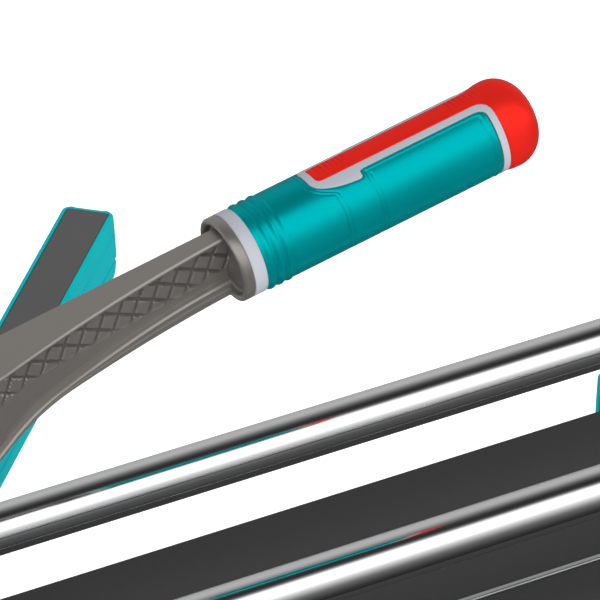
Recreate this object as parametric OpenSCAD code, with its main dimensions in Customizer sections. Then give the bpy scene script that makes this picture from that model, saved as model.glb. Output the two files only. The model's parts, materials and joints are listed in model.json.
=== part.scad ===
// Manual rail tile cutter with swing-out support arms.
// Frame: +X along the rails, +Y to the back, +Z up, origin on the table under the middle of the base.

/* [Base] */
// Length of the base plate along the rails
base_len = 880; // [820:5:1000]
// Width of the base across the rails
base_w = 185.2; // [180:0.2:200]
// Height of the top face of the rubber pads above the table
pad_top = 36; // [32:1:44]
// Thickness of the rubber pads
pad_t = 3; // [2:0.5:4]
// Width of the breaking ridge
ridge_w = 3.1; // [2:0.1:5]
// Thickness of the rubber feet
foot_h = 6; // [4:1:8]

/* [Rails] */
// Outer diameter of each rail
rail_d = 20; // [16:1:22]
// Distance between the rail axes
rail_pitch = 91.4; // [86:0.2:96]
// Height of the rail axes above the pads
rail_rise = 68.8; // [64:0.2:76]
// Thickness of each end bracket along the rails
bracket_t = 26; // [20:1:30]

/* [Support arms] */
// Distance of each arm pivot from the middle of the base
arm_pivot_x = 323.6; // [323:0.1:330]
// how much further out the right arm stands, in mm
right_shift = 32; // [30:0.5:36]
// Length of an arm from its pivot to its tip
arm_reach = 322.4; // [280:0.1:323]
// Width of an arm over its top edges
arm_w = 23.4; // [20:0.2:23.4]
// Width of the rubber strip on an arm
arm_pad_w = 19.4; // [14:0.2:19.4]
// Angle at which the left arm stands open
arm_open = 46.2; // [0:0.2:90]

/* [Carriage] */
// Where the carriage stands along the rails
carriage_x = -356; // [-360:1:-310]
// Length of the carriage along the rails
carriage_len = 64; // [64:1:70]
// Height of the lever pivot above the rail axes
pivot_rise = 27; // [26:0.5:30]
// Distance of the lever pivot ahead of the middle of the carriage
pivot_ahead = 2.2; // [0:0.1:3]

/* [Lever] */
// Height of the lever arm from its lower to its upper rim
lever_h = 27.2; // [24:0.2:30]
// Width of the lever head
head_w = 30; // [28:0.5:30]
// Radius of the curve under the lever
lever_bend_r = 80; // [76:1:84]

/* [Grip] */
// Diameter of the grip
grip_d = 34.4; // [32:0.2:38]
// Slope of the grip above the level
grip_slope = 11.8; // [8:0.2:16]
// Length of the teal sleeve
sleeve_len = 103.8; // [96:0.2:112]

/* [Cutting head] */
// Diameter of the scoring wheel
wheel_d = 22; // [18:1:22]
// Distance from the lever pivot to the axle of the wheel
wheel_reach = 80; // [76:1:80]
// Length of the breaking foot along the rails
breaker_len = 44; // [36:1:46]
// Width of the breaking foot across the rails
breaker_w = 60; // [50:1:62]

/* [Fence] */
// Place of the fence bar along the rails
fence_x = 400; // [390:1:402]
// Where the width stop stands across the rails
stop_y = 50; // [40:1:60]

/* [Hidden] */
$fn = 64;
clear = 0.3;
fit = 0.05;
teal = [0, 0.69, 0.72];
dark = [0.22, 0.22, 0.22];
lever_grey = [0.46, 0.44, 0.42];
steel = [0.75, 0.76, 0.78];
ring_grey = [0.78, 0.78, 0.8];
red = [0.9, 0.16, 0.12];

plate_z = pad_top - pad_t;
plate_t = 4;
bay_wall = 3;
bay_w = (base_w - 2 * plate_t - 2 * bay_wall) / 3;
ridge_top = pad_top + 0.8;
foot_x = 330;
foot_size = [44, 156];

rail_r = rail_d / 2;
rail_y = rail_pitch / 2;
rail_z = pad_top + rail_rise;
bracket_x = base_len / 2 - 2 - bracket_t / 2;
bracket_in = bracket_x - bracket_t / 2;
rail_len = 2 * (bracket_x + bracket_t / 2 - 3);
cap_r = rail_r + 8;
ear_y = 23;
ear_w = 29;
ear_t = 9;
bolt_y = 82;
web_z = 76;
window = [26, 34];
flange_t = 6;
pad_x0 = -bracket_in + 1;
pad_x1 = fence_x - 10;

arm_y = base_w / 2 + 2.3 + arm_w / 2;
arm_off = 11.2;
arm_pivot_y = arm_y + arm_off;
arm_top = pad_top - 0.5;
arm_bottom = 4;
arm_start = 18;
boss_r = 12.5;
leaf_t = 3;
leaf_z = [5, 24];
arm_pin_r = 4;
eye_z = [leaf_z[0] + leaf_t + clear, leaf_z[1] - clear];

pivot_x = carriage_x + pivot_ahead;
pivot_z = rail_z + pivot_rise;
pivot_r = 6;
house_w = 34;
house_wall = 4;
house_z = [90, 140];
house_cut = 12;
hollow_cut = 8;
inner_y = rail_y - house_w / 2;
beam_t = 8;
front_beam_z = [127, 137];
rear_beam_z = [104, 116];
cheek_y = head_w / 2 + 1;
cheek_r = 14;
cheek_z = 112;
roller_dx = 16;
roller_bottom = 8;
roller_r = 11;
roller_w = 20;
roller_z = rail_z + rail_r + clear + roller_bottom;
axle_r = 3;
cover_t = 3;
wiper_r = 14;
wiper_t = 3;

// stop screw behind the lever's wheel leg, and the flat boss that it meets
stop_x = pivot_x - 23;
stop_z = 110;
stop_r = 4;
stop_boss = [9, 12, 10];

head_r = 17;
bush_r = 8;
wheel_tilt = atan2(40.8, 68.8);
foot_pin = [30, -66];
foot_leg_a = atan2(foot_pin[0], -foot_pin[1]);
foot_leg_len = norm(foot_pin);
leg_w = 16;

wheel_r = wheel_d / 2;
wheel_t = 3;
wheel_axle_r = 2.5;
pin_r = 4;
breaker_base = 44;
breaker_t = 8;

// grip frame: its origin is on the grip axis at the lever's end of the collar
arm_front = pivot_x + 45;
grip_r = grip_d / 2;
grip_x = arm_front + 97.5;
grip_z = rail_z + 124.1;
collar_len = 5.6;
ring_len = 5.6;
end_ring_len = 3.1;
cap_len = 17.5;
tang_r = 8;
tang_s = 3.4;
skin = 1.5;
decor_tilt = -5.4;
decor_start = 42.6;
red_half = 17.6;
border_half = 27.9;
hook_half = 39.4;
hook_len = 19.2;
rib_pitch = 4;

stop_half = 15;
knob_x = fence_x - 2;
lip_z = pad_top + 1.4;

// ---- shared shapes ----

// extrudes a (Y, Z) outline along +X from x0
module along_x(x0, len) {
    translate([x0, 0, 0]) rotate([90, 0, 90]) linear_extrude(len) children();
}

// extrudes an (X, Z) outline to both sides of the plane Y = 0
module along_y(w) {
    rotate([90, 0, 0]) linear_extrude(w, center = true) children();
}

// round bar along Y between two values of Y
module bar_y(x, z, r, y0, y1) {
    translate([x, y1, z]) rotate([90, 0, 0]) cylinder(h = y1 - y0, r = r);
}

// round bar along X
module bar_x(x0, y, z, r, len) {
    translate([x0, y, z]) rotate([0, 90, 0]) cylinder(h = len, r = r);
}

// block with round vertical corners, centred in X and Y
module round_block(size, r, h) {
    linear_extrude(h) {
        square([size[0] - 2 * r, size[1]], center = true);
        square([size[0], size[1] - 2 * r], center = true);
        for (sx = [-1, 1], sy = [-1, 1])
            translate([sx * (size[0] / 2 - r), sy * (size[1] / 2 - r)]) circle(r);
    }
}

// screw with its head above z = 0 and its shank below
module cap_screw(head_r, head_h, shank_r, shank_len) {
    difference() {
        cylinder(h = head_h, r = head_r);
        translate([0, 0, head_h * 0.45]) cylinder(h = head_h, r = head_r * 0.5, $fn = 6);
    }
    translate([0, 0, -shank_len]) cylinder(h = shank_len + 0.1, r = shank_r);
}

// ---- base ----

module cap_screw_places() {
    for (sx = [-1, 1], sy = [-1, 1], side = [-1, 1])
        translate([sx * bracket_x, sy * rail_y + side * ear_y, rail_z + ear_t]) children();
}

module bracket_bolt_places() {
    for (sx = [-1, 1], sy = [-1, 1])
        translate([sx * bracket_x, sy * bolt_y, plate_z + flange_t]) children();
}

module fence_screw_places() {
    for (sy = [-1, 1]) translate([fence_x, sy * 82, plate_z + 12]) children();
}

module arm_screw_pair() {
    for (dx = [20, 34])
        translate([arm_pivot_x + dx, base_w / 2 + leaf_t, 16]) rotate([-90, 0, 0]) children();
}

module arm_screw_places() {
    translate([right_shift, 0, 0]) arm_screw_pair() children();
    mirror([1, 0, 0]) arm_screw_pair() children();
}

module base_profile() {
    difference() {
        translate([-base_w / 2, foot_h]) square([base_w, plate_z - foot_h]);
        for (bay = [-1, 0, 1])
            translate([bay * (bay_w + bay_wall) - bay_w / 2, foot_h - 1])
                square([bay_w, plate_z - foot_h - plate_t + 1]);
    }
}

module base_frame() {
    color(dark) difference() {
        along_x(-base_len / 2, base_len) base_profile();
        bracket_bolt_places() translate([0, 0, -30]) cylinder(h = 40, r = 3 + fit);
        fence_screw_places() translate([0, 0, -30]) cylinder(h = 40, r = 2.5 + fit);
        arm_screw_places() translate([0, 0, -12]) cylinder(h = 14, r = 2.5 + fit);
    }
}

// rubber pad from the ridge to one edge of the base
module base_pad(side) {
    y0 = side > 0 ? ridge_w / 2 : -base_w / 2;
    color(dark) translate([pad_x0, y0, plate_z]) cube([pad_x1 - pad_x0, (base_w - ridge_w) / 2, pad_t]);
}

module rear_pad() base_pad(1);
module front_pad() base_pad(-1);

module breaking_ridge() {
    color(steel) along_x(pad_x0, pad_x1 - pad_x0)
        polygon([
            [-ridge_w / 2, plate_z], [ridge_w / 2, plate_z], [ridge_w / 2, ridge_top - 0.5],
            [ridge_w / 2 - 0.5, ridge_top], [0.5 - ridge_w / 2, ridge_top], [-ridge_w / 2, ridge_top - 0.5]
        ]);
}

module rubber_foot(x) {
    color([0.1, 0.1, 0.1]) translate([x, 0, 0]) round_block(foot_size, 8, foot_h);
}

module middle_foot() rubber_foot(0);

module outer_feet() {
    rubber_foot(-foot_x);
    rubber_foot(foot_x);
}

module bracket_profile() {
    for (sy = [-1, 1])
        translate([sy * rail_y - cap_r - 11, plate_z]) square([2 * cap_r + 22, rail_z - plate_z]);
    difference() {
        translate([-rail_y, plate_z]) square([rail_pitch, web_z - plate_z]);
        translate([0, web_z + 4]) circle(r = 19, $fn = 96);
    }
    translate([-base_w / 2 + 2, plate_z]) square([base_w - 4, flange_t]);
}

module end_bracket(side) {
    color(teal) difference() {
        along_x(side * bracket_x - bracket_t / 2, bracket_t) bracket_profile();
        for (sy = [-1, 1]) {
            bar_x(side * bracket_x - bracket_t, sy * rail_y, rail_z, rail_r + fit, 2 * bracket_t);
            // window under the rail
            translate([side * bracket_x, sy * rail_y, 66])
                cube([bracket_t + 2, window[0], window[1]], center = true);
        }
        cap_screw_places() translate([0, 0, -29]) cylinder(h = 40, r = 2.5 + fit);
        bracket_bolt_places() translate([0, 0, -30]) cylinder(h = 40, r = 3 + fit);
    }
}

module left_bracket() end_bracket(-1);
module right_bracket() end_bracket(1);

// solid bar with both ends in the brackets
module rail(side) {
    color([0.85, 0.86, 0.88]) bar_x(-rail_len / 2, side * rail_y, rail_z, rail_r, rail_len);
}

module rear_rail() rail(1);
module front_rail() rail(-1);

// clamp cap over the end of a rail
module rail_cap() {
    difference() {
        along_x(-bracket_t / 2, bracket_t) difference() {
            union() {
                circle(cap_r);
                translate([-ear_w, 0]) square([2 * ear_w, ear_t]);
            }
            translate([-ear_w - 1, -cap_r - 1]) square([2 * ear_w + 2, cap_r + 1 + 0.2]);
        }
        bar_x(-bracket_t, 0, 0, rail_r + fit, 2 * bracket_t);
    }
}

module rail_caps() {
    color(teal) difference() {
        for (sx = [-1, 1], sy = [-1, 1]) translate([sx * bracket_x, sy * rail_y, rail_z]) rail_cap();
        cap_screw_places() translate([0, 0, -29]) cylinder(h = 40, r = 2.5 + fit);
    }
}

module cap_screws() {
    color(steel) cap_screw_places() cap_screw(4.2, 4, 2.5, 26);
}

module bracket_bolts() {
    color(steel) bracket_bolt_places() cap_screw(5, 5, 3, 12);
}

// rubber rings that the carriage runs up against
module rail_buffers() {
    color([0.1, 0.1, 0.1]) difference() {
        for (sy = [-1, 1]) {
            bar_x(carriage_x - carriage_len / 2 - 12, sy * rail_y, rail_z, rail_r + 5, 6);
            bar_x(carriage_x + carriage_len / 2 + 631, sy * rail_y, rail_z, rail_r + 5, 10);
        }
        for (sy = [-1, 1]) bar_x(-base_len / 2, sy * rail_y, rail_z, rail_r + fit, base_len);
    }
}

// ---- support arms ----

// clevis at the back of the base that holds an arm
module arm_bracket() {
    back = base_w / 2;
    px = arm_pivot_x;
    color(steel) difference() {
        union() {
            translate([px + 11, back, leaf_z[0]]) cube([32, leaf_t, leaf_z[1] + leaf_t - leaf_z[0]]);
            for (z = leaf_z) translate([0, 0, z]) linear_extrude(leaf_t) {
                translate([px, arm_pivot_y]) circle(boss_r);
                polygon([
                    [px - boss_r, arm_pivot_y], [px - boss_r, back + 10], [px - 4, back], [px + 43, back],
                    [px + 43, back + leaf_t], [px + boss_r, arm_pivot_y]
                ]);
            }
        }
        translate([px, arm_pivot_y, 0]) cylinder(h = 40, r = arm_pin_r + fit);
        arm_screw_pair() translate([0, 0, -20]) cylinder(h = 30, r = 2.5 + fit);
    }
}

module right_arm_bracket() translate([right_shift, 0, 0]) arm_bracket();
module left_arm_bracket() mirror([1, 0, 0]) arm_bracket();

module arm_bracket_screws() {
    color(steel) arm_screw_places() cap_screw(4.2, 3.5, 2.5, 9);
}

module arm_pin() {
    color(steel) translate([arm_pivot_x, arm_pivot_y, leaf_z[0] - 1.5]) {
        cylinder(h = 1.5, r = 7);
        cylinder(h = leaf_z[1] + leaf_t - leaf_z[0] + 3.5, r = arm_pin_r);
        translate([0, 0, leaf_z[1] + leaf_t - leaf_z[0] + 1.5]) cylinder(h = 2, r = 7);
    }
}

module right_arm_pin() translate([right_shift, 0, 0]) arm_pin();
module left_arm_pin() mirror([1, 0, 0]) arm_pin();

// places a right-hand arm part, drawn along +X from its pivot, at an angle from the closed place
module place_arm(left, angle) {
    translate([left ? 0 : right_shift, 0, 0]) mirror([left ? 0 : 1, 0, 0])
        translate([-arm_pivot_x, arm_pivot_y, 0]) rotate([0, 0, angle]) children();
}

// half of the arm's outline, from the pad recess down the outer wall
arm_side = [
    [arm_pad_w / 2, arm_top - 2.5], [arm_pad_w / 2, arm_top], [arm_w / 2 - 0.6, arm_top],
    [arm_w / 2, arm_top - 0.8], [arm_w / 2 + 0.4, arm_top - 8.6], [arm_w / 2 + 0.1, arm_top - 9.4],
    [arm_w / 2 + 0.9, arm_top - 21], [arm_w / 2 - 0.2, arm_top - 22], [arm_w / 2 - 0.2, arm_bottom]
];

module arm_profile() {
    polygon(concat(arm_side, [for (i = [len(arm_side) - 1:-1:0]) [-arm_side[i][0], arm_side[i][1]]]));
}

module arm_body() {
    color(teal) difference() {
        union() {
            translate([0, -arm_off, 0]) along_x(arm_start, arm_reach - arm_start) arm_profile();
            translate([0, 0, eye_z[0]]) linear_extrude(eye_z[1] - eye_z[0]) {
                circle(boss_r);
                polygon([
                    [0, boss_r], [arm_start + 2, arm_w / 2 - arm_off],
                    [arm_start + 2, -arm_off - arm_w / 2], [0, -boss_r]
                ]);
            }
        }
        // hollow underside
        translate([arm_start + 22, -arm_off - arm_w / 2 + 3, arm_bottom - 1])
            cube([arm_reach - arm_start - 26, arm_w - 6, arm_top - arm_bottom - 5]);
        cylinder(h = 60, r = arm_pin_r + 2);
    }
}

module arm_pad() {
    color(dark) translate([arm_start + 6, -arm_off - arm_pad_w / 2, arm_top - 2.5])
        cube([arm_reach - arm_start - 8, arm_pad_w, 3]);
}

module arm_bush() {
    color([0.75, 0.6, 0.3]) difference() {
        translate([0, 0, eye_z[0]]) cylinder(h = eye_z[1] - eye_z[0], r = arm_pin_r + 2);
        cylinder(h = 60, r = arm_pin_r + 0.06);
    }
}

module arm_foot() {
    color([0.1, 0.1, 0.1]) translate([arm_reach - 32, -arm_off, 0]) round_block([36, 21], 5, arm_bottom);
}

module left_arm() place_arm(true, arm_open) arm_body();
module left_arm_pad() place_arm(true, arm_open) arm_pad();
module left_arm_bush() place_arm(true, arm_open) arm_bush();
module left_arm_foot() place_arm(true, arm_open) arm_foot();
module right_arm() place_arm(false, 0) arm_body();
module right_arm_pad() place_arm(false, 0) arm_pad();
module right_arm_bush() place_arm(false, 0) arm_bush();
module right_arm_foot() place_arm(false, 0) arm_foot();

// ---- carriage ----

module cover_screw_places() {
    low = [carriage_len / 2 - 2, house_z[0] + 2];
    high = [18, house_z[1] - 2];
    for (dx = [-1, 1], at = [low, high], sy = [-1, 1])
        translate([carriage_x + dx * at[0], sy * (rail_y + house_w / 2), at[1]])
            rotate([-90 * sy, 0, 0]) children();
}

module axle_bores() {
    for (dx = [-1, 1]) bar_y(carriage_x + dx * roller_dx, roller_z, axle_r + fit, -80, 80);
}

// side view of a housing, or of its hollow, with the two upper corners cut off
module house_outline(wall, cut) {
    half = carriage_len / 2 - wall;
    z0 = house_z[0] + wall;
    z1 = house_z[1] - wall;
    translate([carriage_x, 0]) polygon([
        [-half, z0], [half, z0], [half, z1 - cut], [half - cut, z1], [cut - half, z1], [-half, z1 - cut]
    ]);
}

// one of the two housings that run along a rail, on the side sy
module rail_housing(sy) {
    x0 = carriage_x - carriage_len / 2;
    difference() {
        translate([0, sy * rail_y, 0]) along_y(house_w) house_outline(0, house_cut);
        // hollow for the rollers, open to the outside where the cover closes it
        translate([0, sy * (rail_y + house_wall), 0]) along_y(house_w) house_outline(house_wall, hollow_cut);
        bar_x(x0 - 1, sy * rail_y, rail_z, rail_r + 1, carriage_len + 2);
        for (end = [x0 - 1, x0 + carriage_len - wiper_t])
            bar_x(end, sy * rail_y, rail_z, wiper_r, wiper_t + 1);
    }
}

module cross_beam(x, z) {
    translate([x, -inner_y - 1, z[0]]) cube([beam_t, 2 * inner_y + 2, z[1] - z[0]]);
}

module carriage_body() {
    x0 = carriage_x - carriage_len / 2;
    color(teal) difference() {
        union() {
            for (sy = [-1, 1]) {
                rail_housing(sy);
                // cheek beside the lever head
                y0 = sy > 0 ? cheek_y : -inner_y - 1;
                cheek_t = inner_y + 1 - cheek_y;
                bar_y(pivot_x, pivot_z, cheek_r, y0, y0 + cheek_t);
                translate([pivot_x - cheek_r, y0, cheek_z])
                    cube([2 * cheek_r, cheek_t, pivot_z - cheek_z]);
            }
            cross_beam(x0, rear_beam_z);
            cross_beam(x0 + carriage_len - beam_t, front_beam_z);
        }
        axle_bores();
        bar_y(pivot_x, pivot_z, pivot_r + fit, -inner_y - house_wall - 1, inner_y + house_wall + 1);
        bar_x(x0 - 10, 0, stop_z, stop_r + fit, 30);
        cover_screw_places() translate([0, 0, -8]) cylinder(h = 20, r = 1.5 + fit);
    }
}

module carriage_cover(sy) {
    difference() {
        translate([0, sy * (rail_y + (house_w + cover_t) / 2), 0])
            along_y(cover_t) house_outline(0, house_cut);
        axle_bores();
        cover_screw_places() translate([0, 0, -8]) cylinder(h = 20, r = 1.5 + fit);
    }
}

module carriage_covers() {
    color([0.16, 0.16, 0.17]) {
        carriage_cover(1);
        carriage_cover(-1);
    }
}

module cover_screws() {
    color(steel) cover_screw_places() translate([0, 0, cover_t]) cap_screw(3, 2, 1.5, 9);
}

module roller_axles() {
    color(steel) for (dx = [-1, 1], sy = [-1, 1]) {
        y0 = inner_y + 1;
        y1 = rail_y + house_w / 2 + cover_t + 1;
        bar_y(carriage_x + dx * roller_dx, roller_z, axle_r, sy > 0 ? y0 : -y1, sy > 0 ? y1 : -y0);
    }
}

module rail_wipers() {
    x0 = carriage_x - carriage_len / 2;
    color([0.85, 0.83, 0.78]) difference() {
        for (sy = [-1, 1], end = [x0, x0 + carriage_len - wiper_t])
            bar_x(end, sy * rail_y, rail_z, wiper_r, wiper_t);
        for (sy = [-1, 1]) bar_x(-base_len / 2, sy * rail_y, rail_z, rail_r + clear, base_len);
    }
}

module pivot_pin() {
    end = inner_y + house_wall;
    color(steel) bar_y(pivot_x, pivot_z, pivot_r, -end, end);
}

// thrust washers beside the lever head
module pivot_washers() {
    color(steel) difference() {
        for (y = [cheek_y - 0.7, -cheek_y]) bar_y(pivot_x, pivot_z, 12, y, y + 0.7);
        bar_y(pivot_x, pivot_z, pivot_r + fit, -60, 60);
    }
}

// lies along the rails, through the rear beam
module stop_screw() {
    x0 = carriage_x - carriage_len / 2 - 9;
    color(steel) {
        translate([x0, 0, stop_z]) rotate([0, -90, 0]) cylinder(h = 4, r = 6.5, $fn = 6);
        bar_x(x0, 0, stop_z, stop_r, stop_x - clear - x0);
    }
}

module stop_nut() {
    color(steel) translate([carriage_x - carriage_len / 2, 0, stop_z]) rotate([0, -90, 0]) difference() {
        cylinder(h = 4, r = 6.5, $fn = 6);
        translate([0, 0, -1]) cylinder(h = 6, r = stop_r);
    }
}

// grooved roller on top of a rail
module roller(dx, sy) {
    color([0.3, 0.3, 0.32]) translate([carriage_x + dx * roller_dx, sy * rail_y, roller_z])
        rotate([90, 0, 0]) rotate_extrude() difference() {
            translate([axle_r + fit, -roller_w / 2]) square([roller_r - axle_r - fit, roller_w]);
            translate([roller_z - rail_z, 0]) circle(r = rail_r + clear, $fn = 96);
        }
}

module rear_left_roller() roller(-1, 1);
module rear_right_roller() roller(1, 1);
module front_left_roller() roller(-1, -1);
module front_right_roller() roller(1, -1);

// ---- lever ----

// height of the lever's upper rim above the rail axes, at a distance u from arm_front
function rim_z(u) = 110.4 + 0.3215 * u - 0.00046 * u * u;

// width of the lever at a distance u from arm_front
function rim_w(u) = 23.8 - 0.26 * u + 0.00108 * u * u;

lever_len = 99;
bend_end = 30;
bend_a0 = atan(0.3215 - 0.00092 * bend_end);
bend_c = [
    bend_end + lever_bend_r * sin(bend_a0),
    rim_z(bend_end) - lever_h - lever_bend_r * cos(bend_a0)
];
back_r = 84;
back_a0 = atan(0.3215);
back_c = [back_r * sin(back_a0), rim_z(0) - back_r * cos(back_a0)];
arc_n = 12;
lever_outline = concat(
    [for (i = [0:arc_n]) let (a = 90 - (90 - back_a0) * i / arc_n)
        [back_c[0] - back_r * sin(a), back_c[1] + back_r * cos(a)]],
    [for (u = [11:11:lever_len]) [u, rim_z(u)]],
    [for (u = [lever_len:-11.5:bend_end + 1]) [u, rim_z(u) - lever_h]],
    [for (i = [0:arc_n]) let (a = bend_a0 + (90 - bend_a0) * i / arc_n)
        [bend_c[0] - lever_bend_r * sin(a), bend_c[1] + lever_bend_r * cos(a)]]
);
lever_plan = concat(
    [[-70, head_w / 2], [-24, head_w / 2]],
    [for (u = [0:11:lever_len]) [u, rim_w(u) / 2]],
    [for (u = [lever_len:-11:0]) [u, -rim_w(u) / 2]],
    [[-24, -head_w / 2], [-70, -head_w / 2]]
);

// leg from the pivot, at an angle from straight down towards -X
module leg(angle, len, w) {
    translate([pivot_x, 0, pivot_z]) rotate([0, angle, 0])
        translate([-7, -w / 2, -len]) cube([14, w, len]);
}

module lever_arm() {
    color(lever_grey) difference() {
        union() {
            intersection() {
                translate([arm_front, 0, rail_z]) along_y(head_w) polygon(lever_outline);
                translate([arm_front, 0, 0]) linear_extrude(400) polygon(lever_plan);
            }
            bar_y(pivot_x, pivot_z, head_r, -head_w / 2, head_w / 2);
            leg(wheel_tilt, 56, 24);
            leg(-foot_leg_a, foot_leg_len, leg_w);
            bar_y(pivot_x + foot_pin[0], pivot_z + foot_pin[1], 7, -leg_w / 2, leg_w / 2);
            translate([stop_x, -stop_boss[1] / 2, stop_z - stop_boss[2] / 2]) cube(stop_boss);
        }
        bar_y(pivot_x, pivot_z, bush_r, -40, 40);
        bar_y(pivot_x + foot_pin[0], pivot_z + foot_pin[1], pin_r, -40, 40);
        // socket for the wheel holder
        translate([pivot_x, 0, pivot_z]) rotate([0, wheel_tilt, 0])
            translate([-10, -6 - fit, -60]) cube([20, 12 + 2 * fit, 26]);
        translate([pivot_x, 0, pivot_z]) rotate([0, wheel_tilt, 0]) bar_y(0, -45, 3 + fit, -40, 40);
    }
}

module lever_bush() {
    color([0.72, 0.55, 0.25]) difference() {
        bar_y(pivot_x, pivot_z, bush_r, -head_w / 2, head_w / 2);
        bar_y(pivot_x, pivot_z, pivot_r + 0.04, -40, 40);
    }
}

// places a part drawn around +Z from the collar's lever end, along the grip
module on_grip(s) {
    translate([grip_x, 0, grip_z]) rotate([0, 90 - grip_slope, 0]) translate([0, 0, s]) children();
}

ring_s = collar_len;
sleeve_s = ring_s + ring_len;
end_ring_s = sleeve_s + sleeve_len;
cap_s = end_ring_s + end_ring_len;

module lever_collar() {
    color(lever_grey) on_grip(0) difference() {
        rotate_extrude() polygon([
            [0, 2.5], [grip_r - 3, 0.6], [grip_r - 1, 0], [grip_r, 1], [grip_r, collar_len - 0.6],
            [grip_r - 0.6, collar_len], [0, collar_len]
        ]);
        translate([0, 0, -1]) cylinder(h = 20, r = tang_r);
        // seat of the lever's end
        translate([-lever_h / 2 - 0.8, -5.2, -1]) cube([lever_h + 1.6, 10.4, 5.6]);
    }
}

module lever_tang() {
    color(steel) on_grip(tang_s) cylinder(h = cap_s + 2 - tang_s, r = tang_r - fit / 2);
}

module grip_ring() {
    color(ring_grey) on_grip(ring_s) difference() {
        cylinder(h = ring_len, r = grip_r);
        translate([0, 0, -1]) cylinder(h = 20, r = tang_r);
    }
}

// part of the grip's skin, from s0 over len, to both sides of the decor's middle;
// as a cutter it runs past the skin by over, and below it by under
module skin_patch(s0, len, half, over = 0, under = 0) {
    on_grip(s0) rotate([0, 0, 180 + decor_tilt - half]) rotate_extrude(angle = 2 * half)
        translate([grip_r - skin - under, 0]) square([skin + over + under, len]);
}

// the same on one side only, between two angles from the decor's middle
module skin_sector(s0, len, a0, a1, inset = 0) {
    on_grip(s0) rotate([0, 0, 180 + decor_tilt + a0]) rotate_extrude(angle = a1 - a0)
        translate([grip_r - skin + inset, 0]) square([skin - 2 * inset, len]);
}

module border_shape(over) {
    skin_patch(decor_start - 2.4, end_ring_s - decor_start + 2.4, border_half, over);
    skin_patch(decor_start - 2.4, hook_len, hook_half, over);
}

module grip_sleeve() {
    color(teal) difference() {
        on_grip(sleeve_s) rotate_extrude() difference() {
            union() {
                square([grip_r, sleeve_len]);
                for (i = [0:2]) translate([grip_r - 1.6, 4 + i * rib_pitch]) circle(r = 2, $fn = 24);
            }
            translate([-1, -1]) square([tang_r + 1, sleeve_len + 2]);
        }
        border_shape(over = 1);
    }
}

// light border around the panel; its stretches lie a hair inside each other where they join
module grip_border() {
    s0 = decor_start - 2.4;
    color(ring_grey) {
        skin_sector(s0, 2.4, -hook_half, hook_half, 0.02);
        for (side = [0, 1]) {
            hook_a = side ? -hook_half : border_half - 2;
            strip_a = side ? -border_half : red_half;
            skin_sector(s0 + 0.5, hook_len - 0.5, hook_a, hook_a + hook_half - border_half + 2, 0.04);
            skin_sector(s0 + 1, end_ring_s - s0 - 1, strip_a, strip_a + border_half - red_half);
        }
    }
}

module grip_end_ring() {
    color(ring_grey) difference() {
        on_grip(end_ring_s) cylinder(h = end_ring_len, r = grip_r);
        on_grip(end_ring_s - 3) cylinder(h = 20, r = tang_r);
        skin_patch(end_ring_s - 1, end_ring_len + 2, red_half, over = 1);
    }
}

module grip_panel() {
    color(red) skin_patch(decor_start, cap_s - decor_start, red_half);
}

module grip_cap() {
    round_r = 12;
    color(red) on_grip(cap_s) difference() {
        rotate_extrude() {
            square([grip_r, cap_len - round_r]);
            square([grip_r - round_r, cap_len]);
            translate([grip_r - round_r, cap_len - round_r]) intersection() {
                circle(round_r);
                square(round_r);
            }
        }
        translate([0, 0, -1]) cylinder(h = 3, r = tang_r);
    }
}

// ---- cutting head ----

module wheel_holder() {
    color(steel) translate([pivot_x, 0, pivot_z]) rotate([0, wheel_tilt, 0]) difference() {
        translate([-6.5, -6, -wheel_reach - 6]) cube([13, 12, wheel_reach + 6 - 34.5]);
        bar_y(0, -45, 3 + fit, -40, 40);
        bar_y(0, -wheel_reach, wheel_axle_r, -40, 40);
        translate([-10, -2, -wheel_reach - 10]) cube([20, 4, 24]);
    }
}

module holder_screw() {
    color([0.1, 0.1, 0.1]) translate([pivot_x, 0, pivot_z]) rotate([0, wheel_tilt, 0]) {
        bar_y(0, -45, 3, -12.2, 13);
        bar_y(0, -45, 7, -14.7, -12.1);
    }
}

module wheel_axle() {
    color(steel) translate([pivot_x, 0, pivot_z]) rotate([0, wheel_tilt, 0]) {
        bar_y(0, -wheel_reach, wheel_axle_r, -8, 8);
        bar_y(0, -wheel_reach, 4, -8, -6);
        bar_y(0, -wheel_reach, 4, 6, 8);
    }
}

module breaker_pin() {
    color(steel) {
        bar_y(pivot_x + foot_pin[0], pivot_z + foot_pin[1], pin_r, -17, 17);
        for (y = [-18.5, 17]) bar_y(pivot_x + foot_pin[0], pivot_z + foot_pin[1], 6, y, y + 1.5);
    }
}

module cutting_wheel() {
    color([0.85, 0.68, 0.3]) translate([pivot_x, 0, pivot_z]) rotate([0, wheel_tilt, 0])
        translate([0, 0, -wheel_reach]) rotate([90, 0, 0]) rotate_extrude(convexity = 4)
            polygon([
                [wheel_axle_r + fit, -wheel_t / 2], [wheel_r - 2.5, -wheel_t / 2], [wheel_r, 0],
                [wheel_r - 2.5, wheel_t / 2], [wheel_axle_r + fit, wheel_t / 2]
            ]);
}

module breaker_foot() {
    x = pivot_x + foot_pin[0];
    z = pivot_z + foot_pin[1];
    gap = leg_w / 2 + 0.5;
    lug = 6;
    color([0.35, 0.35, 0.37]) difference() {
        union() {
            translate([x, 0, breaker_base]) round_block([breaker_len, breaker_w], 6, breaker_t);
            for (y = [-gap - lug, gap]) {
                bar_y(x, z, 8, y, y + lug);
                translate([x - 8, y, breaker_base + 1]) cube([16, lug, z - breaker_base - 1]);
            }
            // two pressing pads
            for (sy = [-1, 1])
                translate([x, sy * (breaker_w / 2 - 9), breaker_base - 3])
                    round_block([breaker_len, 18], 4, 3);
        }
        bar_y(x, z, pin_r + fit, -40, 40);
    }
}

// ---- fence ----

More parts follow.
